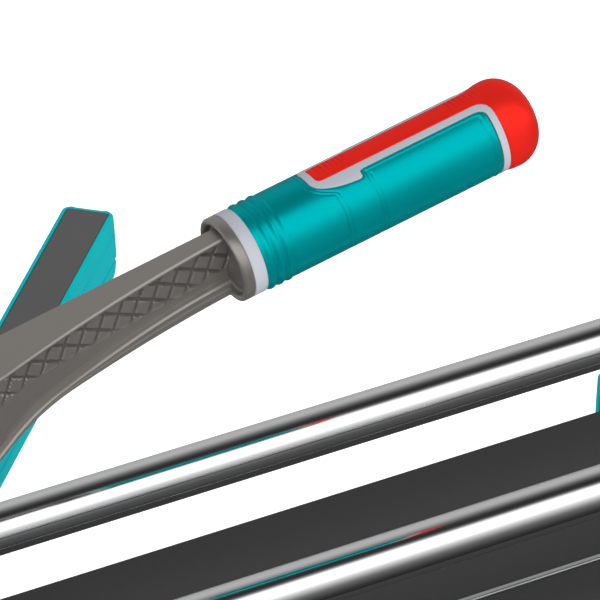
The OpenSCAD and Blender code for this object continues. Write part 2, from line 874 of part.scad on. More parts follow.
module fence_bar() {
    color([0.8, 0.81, 0.83]) difference() {
        translate([fence_x - 8, -base_w / 2 + 2, plate_z]) cube([16, base_w - 4, 12]);
        fence_screw_places() {
            translate([0, 0, -30]) cylinder(h = 40, r = 2.5 + fit);
            translate([0, 0, -3]) cylinder(h = 4, r = 4.5);
        }
    }
}

module fence_screws() {
    color(steel) fence_screw_places() translate([0, 0, -3]) cap_screw(4.3, 2.8, 2.5, 14);
}

module width_stop() {
    top = plate_z + 12 + clear;
    color(teal) difference() {
        union() {
            translate([fence_x - 26, stop_y - stop_half, top]) cube([35.5, 2 * stop_half, 10]);
            translate([fence_x - 26, stop_y - stop_half, lip_z])
                cube([18 - clear, 2 * stop_half, top + 1 - lip_z]);
        }
        translate([knob_x, stop_y, top - 1]) cylinder(h = 20, r = 3 + fit);
    }
}

// clamp screw of the width stop with a lobed knob
module stop_knob() {
    top = plate_z + 12 + clear;
    color([0.1, 0.1, 0.1]) translate([knob_x, stop_y, top + 0.1]) {
        cylinder(h = 12, r = 3);
        translate([0, 0, 10 + clear]) {
            cylinder(h = 4, r = 6);
            translate([0, 0, 4]) difference() {
                cylinder(h = 9, r = 10);
                for (a = [0:60:300]) rotate([0, 0, a]) translate([12.5, 0, -1]) cylinder(h = 11, r = 4.5);
            }
        }
    }
}

base_frame();
rear_pad();
front_pad();
breaking_ridge();
middle_foot();
outer_feet();
left_bracket();
right_bracket();
rear_rail();
front_rail();
rail_caps();
cap_screws();
bracket_bolts();
rail_buffers();
left_arm_bracket();
right_arm_bracket();
arm_bracket_screws();
left_arm_pin();
right_arm_pin();
fence_bar();
fence_screws();
left_arm();
left_arm_pad();
left_arm_bush();
left_arm_foot();
right_arm();
right_arm_pad();
right_arm_bush();
right_arm_foot();
carriage_body();
carriage_covers();
cover_screws();
roller_axles();
rail_wipers();
pivot_pin();
pivot_washers();
stop_screw();
stop_nut();
rear_left_roller();
rear_right_roller();
front_left_roller();
front_right_roller();
lever_arm();
lever_bush();
lever_tang();
lever_collar();
grip_ring();
grip_sleeve();
grip_border();
grip_end_ring();
grip_panel();
grip_cap();
wheel_holder();
holder_screw();
wheel_axle();
breaker_pin();
cutting_wheel();
breaker_foot();
width_stop();
stop_knob();
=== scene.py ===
"""Looks of a manual rail tile cutter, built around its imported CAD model.

Metres; +X along the rails, +Y to the back, +Z up, origin on the table under the middle of the base.
"""
import json
import math

import bmesh
import bpy
import numpy as np
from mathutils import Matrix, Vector
from mathutils.geometry import delaunay_2d_cdt


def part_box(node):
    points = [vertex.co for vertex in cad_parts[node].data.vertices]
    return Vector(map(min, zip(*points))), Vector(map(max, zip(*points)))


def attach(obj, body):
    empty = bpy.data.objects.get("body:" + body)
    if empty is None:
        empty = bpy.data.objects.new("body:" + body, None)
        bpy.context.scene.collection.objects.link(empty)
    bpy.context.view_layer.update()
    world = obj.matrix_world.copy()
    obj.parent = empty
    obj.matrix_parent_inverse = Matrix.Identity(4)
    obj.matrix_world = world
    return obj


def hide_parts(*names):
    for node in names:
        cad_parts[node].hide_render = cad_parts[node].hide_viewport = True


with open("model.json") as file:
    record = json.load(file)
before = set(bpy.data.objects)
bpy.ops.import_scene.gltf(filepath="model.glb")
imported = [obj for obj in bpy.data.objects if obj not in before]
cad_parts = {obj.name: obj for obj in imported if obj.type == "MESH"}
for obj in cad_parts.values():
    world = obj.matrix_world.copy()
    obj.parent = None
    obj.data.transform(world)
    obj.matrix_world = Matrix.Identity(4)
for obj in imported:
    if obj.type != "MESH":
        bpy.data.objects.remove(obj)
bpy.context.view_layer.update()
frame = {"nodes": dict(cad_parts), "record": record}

MM = 0.001
SLOT_OF = {part["node"]: part["material_slot"] for part in frame["record"]["subparts"]}


def smooth(x):
    """0 below 0, 1 above 1, with a soft start and end between."""
    x = np.clip(x, 0.0, 1.0)
    return x * x * (3 - 2 * x)


def centre(node):
    low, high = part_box(node)
    return (low + high) / 2


# ---- camera, light and floor ----

VIEW_AZIMUTH = math.radians(29.351)
VIEW_ELEVATION = math.radians(32)
VIEW_TARGET = Vector((-0.17782, 0, 0.20139))
VIEW_DISTANCE = 2.33397
VIEW_LENS = 367.37
WHITE = (1, 1, 1, 1)

# brightness of the studio around the rails: (degrees from straight up towards the front, brightness)
STUDIO = [
    (-180, 0.03), (-150, 0.08), (-125, 0.25), (-100, 0.36), (-80, 0.38), (-61, 0.42), (-46, 0.37),
    (-33, 0.22), (-22, 0.10), (-11, 0.035), (0, 0.02), (10, 0.05), (17, 0.30), (23, 1.0), (64, 1.0),
    (72, 0.66), (81, 0.46), (90, 0.28), (100, 0.14), (110, 0.09), (120, 0.06), (130, 0.035),
    (150, 0.015), (180, 0.03),
]
STUDIO_POWER = 1.2
LAMP_TARGET = Vector((0, 0, 0.1))
FLOOR_HALF = 400.0
FLOOR_Z = -0.2 * MM


def add_camera():
    data = bpy.data.cameras.new("camera")
    data.lens = VIEW_LENS
    data.clip_end = 100
    camera = bpy.data.objects.new("camera", data)
    level = math.cos(VIEW_ELEVATION)
    forward = Vector((
        math.sin(VIEW_AZIMUTH) * level, math.cos(VIEW_AZIMUTH) * level, -math.sin(VIEW_ELEVATION)
    ))
    camera.location = VIEW_TARGET - VIEW_DISTANCE * forward
    camera.rotation_mode = "QUATERNION"
    camera.rotation_quaternion = forward.to_track_quat("-Z", "Y")
    bpy.context.scene.collection.objects.link(camera)
    bpy.context.scene.camera = camera


def add_studio():
    """A world whose brightness goes round the rails in soft bands, like long strip lights."""
    world = bpy.data.worlds.new("studio")
    bpy.context.scene.world = world
    world.use_nodes = True
    nodes, link = world.node_tree.nodes, world.node_tree.links.new
    nodes.clear()
    place = nodes.new("ShaderNodeTexCoord")
    split = nodes.new("ShaderNodeSeparateXYZ")
    link(place.outputs["Generated"], split.inputs[0])
    front = nodes.new("ShaderNodeMath")
    front.operation = "MULTIPLY"
    front.inputs[1].default_value = -1
    link(split.outputs["Y"], front.inputs[0])
    turn = nodes.new("ShaderNodeMath")
    turn.operation = "ARCTAN2"
    link(front.outputs[0], turn.inputs[0])
    link(split.outputs["Z"], turn.inputs[1])
    share = nodes.new("ShaderNodeMapRange")
    share.inputs["From Min"].default_value = -math.pi
    share.inputs["From Max"].default_value = math.pi
    link(turn.outputs[0], share.inputs["Value"])
    bands = nodes.new("ShaderNodeValToRGB")
    stops = bands.color_ramp.elements
    ends = (stops[0], stops[-1])
    for stop, (_, level) in zip(ends, (STUDIO[0], STUDIO[-1])):
        stop.color = (level, level, level, 1)
    for angle, level in STUDIO[1:-1]:
        stops.new((angle + 180) / 360).color = (level, level, level, 1)
    link(share.outputs[0], bands.inputs[0])
    light = nodes.new("ShaderNodeBackground")
    light.inputs["Strength"].default_value = STUDIO_POWER
    link(bands.outputs[0], light.inputs["Color"])
    plain = nodes.new("ShaderNodeBackground")
    plain.inputs["Color"].default_value = WHITE
    path = nodes.new("ShaderNodeLightPath")
    mix = nodes.new("ShaderNodeMixShader")
    link(path.outputs["Is Camera Ray"], mix.inputs[0])
    link(light.outputs[0], mix.inputs[1])
    link(plain.outputs[0], mix.inputs[2])
    out = nodes.new("ShaderNodeOutputWorld")
    link(mix.outputs[0], out.inputs["Surface"])


def add_lamp(name, place, size, watts):
    """A square soft light that faces the middle of the tool; it doesn't show in reflections."""
    data = bpy.data.lights.new(name, "AREA")
    data.size = size
    data.energy = watts
    lamp = bpy.data.objects.new(name, data)
    lamp.location = place
    lamp.rotation_mode = "QUATERNION"
    lamp.rotation_quaternion = (LAMP_TARGET - Vector(place)).to_track_quat("-Z", "Y")
    lamp.visible_camera = False
    lamp.visible_glossy = False
    bpy.context.scene.collection.objects.link(lamp)


def add_floor():
    """A plain pale floor, so large that no view shows its edge; it stays out of the reflections."""
    mesh = bpy.data.meshes.new("floor")
    sides = [(-1, -1), (1, -1), (1, 1), (-1, 1)]
    corners = [(x * FLOOR_HALF, y * FLOOR_HALF, FLOOR_Z) for x, y in sides]
    mesh.from_pydata(corners, [], [(0, 1, 2, 3)])
    floor = bpy.data.objects.new("floor", mesh)
    bpy.context.scene.collection.objects.link(floor)
    paint = bpy.data.materials.new("floor_paint")
    paint.use_nodes = True
    shader = paint.node_tree.nodes["Principled BSDF"]
    shader.inputs["Base Color"].default_value = (0.93, 0.93, 0.93, 1)
    shader.inputs["Roughness"].default_value = 0.9
    shader.inputs["Emission Color"].default_value = WHITE
    shader.inputs["Emission Strength"].default_value = 0.7
    mesh.materials.append(paint)
    floor.visible_glossy = False


# ---- materials ----

EVEN = (1, 1, 1)
WORN_WIDTH = 1.2 * MM
WORN_PATCH = 6 * MM
# painted shade: share of the base colour left in the lever's shaded recesses
RECESS_SHADE = 0.35
COAT_ROUGHNESS = 0.15


def noise(tree, size, detail, stretch=EVEN):
    """Noise in the part's own frame, with features of about the given size in metres."""
    nodes, link = tree.nodes, tree.links.new
    place = nodes.new("ShaderNodeTexCoord")
    scale = nodes.new("ShaderNodeMapping")
    scale.inputs["Scale"].default_value = stretch
    link(place.outputs["Object"], scale.inputs["Vector"])
    texture = nodes.new("ShaderNodeTexNoise")
    texture.inputs["Scale"].default_value = 1 / size
    texture.inputs["Detail"].default_value = detail
    link(scale.outputs[0], texture.inputs["Vector"])
    return texture.outputs["Fac"]


def spread(tree, value, low, high, start=0.2, end=0.8):
    """Maps start..end of a texture's value onto low..high."""
    span = tree.nodes.new("ShaderNodeMapRange")
    span.interpolation_type = "SMOOTHSTEP"
    for socket, number in (("From Min", start), ("From Max", end), ("To Min", low), ("To Max", high)):
        span.inputs[socket].default_value = number
    tree.links.new(value, span.inputs["Value"])
    return span.outputs[0]


def edge_mask(tree, chips):
    """1 along worn edges, where the chips value is 1 as well."""
    nodes, link = tree.nodes, tree.links.new
    rounded = nodes.new("ShaderNodeBevel")
    rounded.samples = 4
    rounded.inputs["Radius"].default_value = WORN_WIDTH
    flat = nodes.new("ShaderNodeNewGeometry")
    same = nodes.new("ShaderNodeVectorMath")
    same.operation = "DOT_PRODUCT"
    link(rounded.outputs[0], same.inputs[0])
    link(flat.outputs["Normal"], same.inputs[1])
    edge = spread(tree, same.outputs["Value"], 1, 0, 0.80, 0.97)
    both = nodes.new("ShaderNodeMath")
    both.operation = "MULTIPLY"
    link(edge, both.inputs[0])
    link(chips, both.inputs[1])
    return both.outputs[0]


def material(name, color, rough, metallic=0.0, mottle=0.06, mottle_size=0.03, grain=0.0,
             grain_size=0.0008, swing=0.05, stretch=EVEN, coat=0.0, shine=0.5, tinted=False,
             shade_recesses=False, worn=None):
    """A procedural finish: mottled colour, gloss that varies by swing, and fine bump, grain deep.

    tinted gives the highlights the colour, shade_recesses darkens the recesses with painted shade from the
    part's shade attribute, and worn is the colour of bare edges.
    """
    made = bpy.data.materials.new(name)
    made.use_nodes = True
    tree = made.node_tree
    nodes, link = tree.nodes, tree.links.new
    shader = nodes["Principled BSDF"]
    shader.inputs["Metallic"].default_value = metallic
    shader.inputs["Coat Weight"].default_value = coat
    shader.inputs["Coat Roughness"].default_value = COAT_ROUGHNESS
    shader.inputs["Specular IOR Level"].default_value = shine
    if tinted:
        shader.inputs["Specular Tint"].default_value = (*color, 1)
    cloudy = noise(tree, mottle_size, 4.0, stretch)
    fine = noise(tree, grain_size, 2.0, stretch)
    paint = nodes.new("ShaderNodeMix")
    paint.data_type = "RGBA"
    paint.inputs["A"].default_value = (*[c * (1 - mottle) for c in color], 1)
    paint.inputs["B"].default_value = (*[min(1, c * (1 + mottle)) for c in color], 1)
    link(spread(tree, cloudy, 0, 1), paint.inputs["Factor"])
    finish = paint.outputs["Result"]
    if worn:
        chips = spread(tree, noise(tree, WORN_PATCH, 5.0), 0, 0.85, 0.46, 0.62)
        bare = nodes.new("ShaderNodeMix")
        bare.data_type = "RGBA"
        bare.inputs["B"].default_value = (*worn, 1)
        link(edge_mask(tree, chips), bare.inputs["Factor"])
        link(finish, bare.inputs["A"])
        finish = bare.outputs["Result"]
    # painted shade: the part's shade attribute darkens its colour in the recesses
    if shade_recesses:
        mask = nodes.new("ShaderNodeAttribute")
        mask.attribute_name = "recess"
        shade_mix = nodes.new("ShaderNodeMix")
        shade_mix.data_type = "RGBA"
        shade_mix.inputs["B"].default_value = (*[c * RECESS_SHADE for c in color], 1)
        link(mask.outputs["Fac"], shade_mix.inputs["Factor"])
        link(finish, shade_mix.inputs["A"])
        finish = shade_mix.outputs["Result"]
    link(finish, shader.inputs["Base Color"])
    gloss = cloudy if stretch == EVEN else fine
    link(spread(tree, gloss, rough - swing, rough + swing), shader.inputs["Roughness"])
    if grain:
        bump = nodes.new("ShaderNodeBump")
        bump.inputs["Strength"].default_value = 1.0
        bump.inputs["Distance"].default_value = grain
        link(fine, bump.inputs["Height"])
        link(bump.outputs[0], shader.inputs["Normal"])
    return made


TEAL = (0.0, 0.43, 0.46)
TEAL_BRIGHT = (0.0, 0.55, 0.60)
RED = (0.90, 0.025, 0.016)
ALONG_X = (0.02, 1, 1)

FINISH = {
    "painted_frame": material("charcoal_coat", (0.045, 0.046, 0.048), 0.45, grain=0.00005,
                              worn=(0.3, 0.3, 0.3)),
    "base_rubber": material("base_rubber", (0.036, 0.036, 0.036), 0.62, mottle=0.10, grain=0.00005,
                            grain_size=0.0005),
    "bare_aluminium": material("brushed_aluminium", (0.62, 0.63, 0.64), 0.35, 1.0, grain=0.00002,
                               grain_size=0.0004, stretch=ALONG_X),
    "foot_rubber": material("black_rubber", (0.02, 0.02, 0.02), 0.7, mottle=0.15, grain=0.00006),
    "teal_paint": material("teal_coat", TEAL, 0.34, 0.4, mottle=0.05, grain=0.00004,
                           grain_size=0.0012, coat=0.1, shine=0.2, worn=(0.45, 0.46, 0.47)),
    "rail_chrome": material("polished_chrome", (0.87, 0.87, 0.88), 0.11, 1.0, mottle=0.02,
                            grain=0.000004, grain_size=0.0006, swing=0.02, stretch=ALONG_X),
    "zinc_steel": material("zinc_plate", (0.62, 0.63, 0.65), 0.35, 1.0, mottle=0.12,
                           mottle_size=0.004, grain=0.00001),
    "teal_plastic": material("teal_moulding", TEAL_BRIGHT, 0.40, 0.25, mottle=0.03, grain=0.00002,
                             grain_size=0.0009, shine=0.15, tinted=True),
    "arm_rubber": material("arm_rubber", (0.092, 0.092, 0.092), 0.7, mottle=0.06, grain=0.00004),
    "bronze": material("bronze", (0.62, 0.42, 0.18), 0.34, 1.0, mottle=0.1, mottle_size=0.004),
    "black_plastic": material("black_moulding", (0.022, 0.022, 0.024), 0.42, mottle=0.1,
                              grain=0.00005),
    "wiper_felt": material("felt", (0.62, 0.58, 0.5), 0.95, mottle=0.2, mottle_size=0.002,
                           grain=0.0003, grain_size=0.0007),
    "roller_steel": material("ground_steel", (0.4, 0.4, 0.42), 0.22, 1.0, mottle=0.08,
                             mottle_size=0.005, swing=0.04),
    # the lever's coat gets painted shade in its sunk web and grooves
    "lever_metal": material("lever_coat", (0.335, 0.312, 0.29), 0.36, 0.75, mottle=0.03,
                            grain=0.00002, grain_size=0.0010, shade_recesses=True),
    "grip_grey": material("grey_moulding", (0.43, 0.44, 0.49), 0.42, mottle=0.02, grain=0.00001),
    "grip_teal": material("grip_teal", TEAL, 0.33, 0.7, mottle=0.03, mottle_size=0.05,
                          grain=0.00001, swing=0.04, shine=0.1, tinted=True),
    "grip_red": material("grip_red", RED, 0.33, 0.4, mottle=0.03, mottle_size=0.05,
                         grain=0.00001, swing=0.04, shine=0.1, tinted=True),
    "coated_carbide": material("nitride_coat", (0.75, 0.55, 0.2), 0.2, 1.0, mottle=0.08,
                               mottle_size=0.004, swing=0.04),
}


# ---- mesh helpers ----

SAME_POINT = 0.01 * MM
FLAT_ANGLE = math.radians(0.5)


def add_piece(name, points, faces, slot, body, replaces, angle=32, bevel=0.0):
    """A mesh piece that rides on a body, shaded smooth but for edges sharper than angle."""
    mesh = bpy.data.meshes.new(name)
    mesh.from_pydata([tuple(p) for p in points], [], faces)
    mesh.validate()
    mesh.shade_smooth()
    mesh.set_sharp_from_angle(angle=math.radians(angle))
    mesh.materials.append(FINISH[slot])
    piece = bpy.data.objects.new(name, mesh)
    bpy.context.scene.collection.objects.link(piece)
    if bevel:
        round_edges(piece, bevel, 45)
    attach(piece, body)
    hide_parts(*replaces)
    return piece


def round_edges(piece, width, angle, segments=2):
    """Rounds the edges that are sharper than angle degrees."""
    edge = piece.modifiers.new("edges", "BEVEL")
    edge.width = width
    edge.segments = segments
    edge.limit_method = "ANGLE"
    edge.angle_limit = math.radians(angle)
    edge.harden_normals = False
    normals = piece.modifiers.new("normals", "WEIGHTED_NORMAL")
    normals.keep_sharp = False


def loft(rings, looped=False):
    """Points and faces of a skin over rings of points. Every ring is a closed loop of the same length.

    The first and last rings are filled, or joined to each other if looped.
    """
    count, size = len(rings), len(rings[0])
    points = [p for ring in rings for p in ring]
    faces = []
    for i in range(count if looped else count - 1):
        a, b = i * size, (i + 1) % count * size
        for k in range(size):
            n = (k + 1) % size
            faces.append((a + k, a + n, b + n, b + k))
    if not looped:
        faces.append(tuple(range(size))[::-1])
        faces.append(tuple(range((count - 1) * size, count * size)))
    return points, faces


def from_path(points, path):
    """Distance of each (x, y) point from a path of straight stretches."""
    best = np.full(len(points), 1e9)
    for a, b in zip(path[:-1], path[1:]):
        a, b = np.array(a, float), np.array(b, float)
        along = b - a
        t = np.clip(((points - a) @ along) / max(along @ along, 1e-12), 0, 1)
        best = np.minimum(best, np.linalg.norm(points - a - t[:, None] * along, axis=1))
    return best


def finish_cad_nodes():
    """Gives every shown CAD node its finish and soft edges; the mesh itself stays as it is."""
    for name, node in frame["nodes"].items():
        for place in node.material_slots:
            place.material = FINISH[SLOT_OF[name]]
        weld = node.modifiers.new("weld", "WELD")
        weld.merge_threshold = SAME_POINT
        flat = node.modifiers.new("flat", "DECIMATE")
        flat.decimate_type = "DISSOLVE"
        flat.angle_limit = FLAT_ANGLE
        round_edges(node, 0.5 * MM, 38)


# ---- rails ----

RAIL_CHAMFER = 0.8 * MM
RAIL_LENGTHS = 24
RAIL_SIDES = 160


def rail_piece(side):
    """A polished bar with turned, chamfered ends."""
    node = side + "_rail"
    low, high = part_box(node)
    radius = (high.z - low.z) / 2
    middle = (low + high) / 2
    end_r = radius - RAIL_CHAMFER
    stations = [(low.x, end_r), (low.x + RAIL_CHAMFER, radius)]
    for i in range(1, RAIL_LENGTHS):
        stations.append((low.x + (high.x - low.x) * i / RAIL_LENGTHS, radius))
    stations += [(high.x - RAIL_CHAMFER, radius), (high.x, end_r)]
    rings = [
        [(x, middle.y + r * math.sin(a), middle.z + r * math.cos(a))
         for a in (math.tau * k / RAIL_SIDES for k in range(RAIL_SIDES))]
        for x, r in stations
    ]
    points, faces = loft(rings)
    add_piece("polished_" + node, points, faces, "rail_chrome", "base", [node], angle=30)


# ---- lever ----

# all in mm: u runs along the rails from LEVER_X, z goes up from the rail axes
LEVER_X = -308.8
RAIL_Z = centre("rear_rail").z / MM
LEVER_LEN = 99.0
LEVER_H = 27.2
LEVER_SLOPE = 0.3215
BEND_R = 80.0
BEND_U = 30.0
BACK_R = 84.0
HEAD_W = 30.0
NECK_W = 23.8
RIM_R = 0.65
RIM_H = 1.4
BAND_LIMITS = (2.3, 7)
UNDER_R = 0.8
WEB_DEPTH = 2.6
PAD_H = 0.8
PAD_FIELD = 17.0
GROOVE_HALF = 0.55
PAD_PITCH = (6.66, 6.82)
PAD_START = (94.4, 0.2)
PAD_TILT = math.radians(21)
HEAD_CUT = 19 * MM


def rim_z(u):
    """Height of the upper rim above the rail axes, at u along the lever."""
    return 110.4 + LEVER_SLOPE * u - 0.00046 * u * u


def rim_w(u):
    """Width over the rims: it narrows towards the grip and widens into the head."""
    arm = NECK_W - 0.26 * u + 0.00108 * u * u
    head = NECK_W + (HEAD_W - NECK_W) * smooth(-u / 24)
    return np.where(u > 0, arm, head)


def band_h(u):
    """Height of the smooth band along the lower rim."""
    return np.clip(BAND_LIMITS[0] + 0.085 * u - 0.0004 * u * u, *BAND_LIMITS)


def lever_stations():
    """Pairs of points (u, z) on the lower and the upper rim, from the head to the collar."""
    bend_a = math.atan(LEVER_SLOPE - 0.00092 * BEND_U)
    bend = (BEND_U + BEND_R * math.sin(bend_a), rim_z(BEND_U) - LEVER_H - BEND_R * math.cos(bend_a))
    back_a = math.atan(LEVER_SLOPE)
    back = (BACK_R * math.sin(back_a), rim_z(0) - BACK_R * math.cos(back_a))
    quarter = math.pi / 2
    pairs = []
    coarse, fine = np.linspace(0, 0.6, 30, endpoint=False), np.linspace(0.6, 1, 90, endpoint=False)
    for t in np.concatenate([coarse, fine]):
        low = quarter + (bend_a - quarter) * t
        high = quarter + (back_a - quarter) * t
        pairs.append((
            (bend[0] - BEND_R * math.sin(low), bend[1] + BEND_R * math.cos(low)),
            (back[0] - BACK_R * math.sin(high), back[1] + BACK_R * math.cos(high)),
        ))
    for t in np.linspace(0, 1, 300):
        low, high = BEND_U + (LEVER_LEN - BEND_U) * t, LEVER_LEN * t
        pairs.append(((low, rim_z(low) - LEVER_H), (high, rim_z(high))))
    return pairs


def groove_gap(u, z):
    """Distance to the nearest groove of the crossed pattern on the lever's side."""
    down = z * math.cos(PAD_TILT) + u * math.sin(PAD_TILT)
    across = u * math.cos(PAD_TILT) - (z - 100) * math.sin(PAD_TILT)
    gaps = []
    for value, start, pitch in zip((down, across), PAD_START, PAD_PITCH):
        cell = (value - start) / pitch
        gaps.append(np.abs(cell - np.round(cell)) * pitch)
    return np.minimum(*gaps)


def lever_flank(u, z, top, bottom, band):
    """Half width of the lever and how much painted shade its sunk side and grooves get.

    top and bottom are the distances from the upper and lower rim, band is the height of the smooth band.
    """
    rounding = np.clip(RIM_R - top, 0, None)
    sunk = smooth((top - RIM_H) / 0.6) * smooth((bottom - band) / 0.7)
    field = smooth((PAD_FIELD - top) / 3.0) * smooth((u + 14) / 8)
    field = field * smooth((bottom - band - 1.0) / 1.5)
    raised = smooth((groove_gap(u, z) - GROOVE_HALF) / 0.35)
    pads = raised * field * smooth((top - 2.3) / 0.5)
    fold = 0.25 * np.exp(-(((bottom - 0.55 * band) / 0.35) ** 2))
    lip = np.clip(RIM_R - np.clip(band - bottom, 0, None), 0, None) * (bottom < band + 1)
    taper = 0.5 * (1 - bottom / band) ** 2
    round_off = UNDER_R - np.sqrt(np.maximum(UNDER_R**2 - (UNDER_R - bottom) ** 2, 0))
    under = np.where(bottom < UNDER_R, round_off, 0)
    low = np.where(bottom < band, fold + taper + under + lip, lip * (1 - sunk))
    # painted shade: a little over the whole sunk web, more in the grooves between the pads
    recess = sunk * (0.1 + 0.5 * (1 - raised) * field)
    return rim_w(u) / 2 - rounding - WEB_DEPTH * sunk + PAD_H * pads - low, recess


def lever_piece():
    """The cast arm with its flanges, sunk web and diamond pads.

    Points lie closer together at the rims, the band and the step into the web than elsewhere.
    """
    rings, marks = [], []
    for low, high in lever_stations():
        height = math.dist(low, high)
        band = float(band_h(low[0]))
        top_zone = [0, RIM_R, 0.72, 1.0, RIM_H, 1.55, 1.7, 1.85, 2.0, 2.3]
        web = list(np.linspace(2.55, height - band - 0.85, 62))
        low_zone = [height - band - d for d in (0.7, 0.52, 0.35, 0.18, 0.0)]
        low_zone += [height - band + d for d in (0.65, 0.75)]
        low_zone += [height - band * f for f in (0.62, 0.56, 0.5, 0.44, 0.38)]
        low_zone += [height - d for d in (0.8, 0.35, 0.08, 0)]
        top = np.array(top_zone + web + low_zone)
        share = top / height
        u = high[0] + (low[0] - high[0]) * share
        z = high[1] + (low[1] - high[1]) * share
        y, recess = lever_flank(u, z, top, height - top, band)
        marks += [*recess, *recess[::-1]]
        x = LEVER_X + u
        z = z + RAIL_Z
        order = range(len(top))
        ring = [(x[i] * MM, -y[i] * MM, z[i] * MM) for i in order]
        ring += [(x[i] * MM, y[i] * MM, z[i] * MM) for i in reversed(order)]
        rings.append(ring)
    points, faces = loft(rings)
    piece = add_piece("lever_casting", points, faces, "lever_metal", "lever", ["lever_arm"], angle=30)
    # painted shade amounts per point, which the lever's material darkens its colour by
    mask = piece.data.attributes.new("recess", "FLOAT", "POINT")
    mask.data.foreach_set("value", np.array(marks, dtype=np.float32))


def cut_copy(name, node, place, away, slot, body, edge):
    """A new piece with a CAD node's shape, without what lies beyond a plane, and with rounded edges."""
    work = bmesh.new()
    work.from_mesh(frame["nodes"][node].data)
    bmesh.ops.remove_doubles(work, verts=work.verts, dist=SAME_POINT)
    everything = list(work.verts) + list(work.edges) + list(work.faces)
    bmesh.ops.bisect_plane(work, geom=everything, plane_co=place, plane_no=away, clear_outer=True)
    bmesh.ops.holes_fill(work, edges=[e for e in work.edges if e.is_boundary])
    bmesh.ops.dissolve_limit(work, angle_limit=FLAT_ANGLE, verts=work.verts, edges=work.edges)
    mesh = bpy.data.meshes.new(name)
    work.to_mesh(mesh)
    work.free()
    mesh.shade_smooth()
    mesh.materials.append(FINISH[slot])
    piece = bpy.data.objects.new(name, mesh)
    bpy.context.scene.collection.objects.link(piece)
    round_edges(piece, edge, 35, 3)
    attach(piece, body)


def lever_head():
    """The lower part of the lever: boss, wheel leg and foot leg, cut off under the cast arm."""
    top = centre("pivot_pin") + Vector((0, 0, HEAD_CUT))
    cut_copy("lever_head", "lever_arm", top, (0, 0, 1), "lever_metal", "lever", 1.2 * MM)


# ---- grip ----

# places on the grip are (s, degrees or mm round it, radius), with s in mm from the collar's rim
GRIP_SLOPE = math.radians(11.8)
GRIP_AXIS = Vector((math.cos(GRIP_SLOPE), 0, math.sin(GRIP_SLOPE)))
GRIP_UP = Vector((-math.sin(GRIP_SLOPE), 0, math.cos(GRIP_SLOPE)))
GRIP_SIDE = Vector((0, -1, 0))
GRIP_R = 17.2
COLLAR_LEN = 4.5
RING_LEN = 5.5
SLEEVE_S = COLLAR_LEN + RING_LEN
END_RING_S = 115.0
CAP_S = 118.1
CAP_END = 135.6
TANG_R = 8.0
SKIN_T = 1.2
PROUD = 0.1
TURNED_SIDES = 144
RING_MIDDLE_S = 8.4
GRIP_START = centre("grip_ring") - GRIP_AXIS * RING_MIDDLE_S * MM
DECOR_TILT = -5.4
DEG_MM = math.radians(GRIP_R)

# one half of the border, from its front middle round the hook to the end ring: (s, degrees from the middle)
BORDER_OUT = [
    (39.8, 0), (39.8, 14), (40.2, 20), (41.3, 25.6), (43.0, 29.6), (45.3, 33.2), (48.0, 36.2), (51.0, 38.4),
    (54.5, 40.0), (57.6, 41.0), (58.7, 40.7), (59.4, 39.4), (59.5, 37.0), (59.6, 32.0), (60.1, 30.2),
    (61.4, 29.4), (110.8, 29.4), (112.6, 30.2), (114.0, 32.8), (114.8, 36.4), (115.0, 41.0), (115.0, 180),
]
BORDER_IN = [
    (117.9, 180), (117.9, 40.0), (117.6, 33.0), (116.8, 27.0), (115.4, 22.6), (113.6, 20.0), (111.4, 19.2),
    (45.4, 19.2), (44.0, 18.2), (43.2, 15.6), (43.0, 12.0), (43.0, 0),
]
PANEL_HALF = 19.2
PANEL_S = 43.0
PANEL_NOSE_R = 2.4
PANEL_FLARE = 40.0
PANEL_GAP = 0.35
GROOVE_DEPTH = 0.42
GROOVE_WIDTH = 0.38
GROOVE_PITCH = 2.0
GROOVE_COUNT = 7
GROOVE_STARTS = (46.2, 104.6)


def on_grip(s, angle, r):
    """A point on the grip: s along it, angle in degrees from its top to the camera side, r from its axis."""
    a = math.radians(angle)
    out = GRIP_UP * math.cos(a) + GRIP_SIDE * math.sin(a)
    return GRIP_START + (GRIP_AXIS * s + out * r) * MM


def turned(name, profile, slot, node):
    """A turned piece round the grip's axis in a CAD node's place, from (s, r) points from axis to axis."""
    angles = [360 * k / TURNED_SIDES for k in range(TURNED_SIDES)]
    rings = [[on_grip(s, angle, max(r, 0.02)) for angle in angles] for s, r in profile]
    points, faces = loft(rings)
    add_piece(name, points, faces, slot, "lever", [node], angle=60)


def arc(cx, cy, r, start, end, steps):
    """Points of an arc about (cx, cy), from start to end degrees."""
    return [
        (cx + r * math.cos(math.radians(start + (end - start) * i / steps)),
         cy + r * math.sin(math.radians(start + (end - start) * i / steps)))
        for i in range(steps + 1)
    ]


def collar_piece():
    """The short cup that takes the lever's end: a floor, a rounded rim and a plain outside."""
    rim_r = 1.3
    profile = [(3.2, 0), (3.2, 13.3)]
    profile += arc(2.2, 13.3, 1.0, 0, 90, 6)
    profile += arc(rim_r, GRIP_R - rim_r, rim_r, 270, 90, 14)
    profile += [(COLLAR_LEN - 0.4, GRIP_R), (COLLAR_LEN, GRIP_R - 0.4), (COLLAR_LEN, 0)]
    turned("collar_cup", profile, "lever_metal", "lever_collar")


def ring_piece():
    """The light ring between the collar and the sleeve."""
    profile = [(COLLAR_LEN, 0), (COLLAR_LEN, GRIP_R - 0.5), (COLLAR_LEN + 0.15, GRIP_R - 0.15)]
    profile += [(COLLAR_LEN + 0.5, GRIP_R + 0.05), (SLEEVE_S - 0.5, GRIP_R + 0.05)]
    profile += [(SLEEVE_S - 0.15, GRIP_R - 0.1), (SLEEVE_S, GRIP_R - 0.45), (SLEEVE_S, 0)]
    turned("collar_ring", profile, "grip_grey", "grip_ring")


def folded(angle):
    """Degrees from the middle of the decor, the same on both sides."""
    turn = (np.asarray(angle) - DECOR_TILT + 180) % 360 - 180
    return np.abs(turn)


def flat_path(path):
    """A path in (s, degrees) as (s, mm round the grip)."""
    return [(s, a * DEG_MM) for s, a in path]


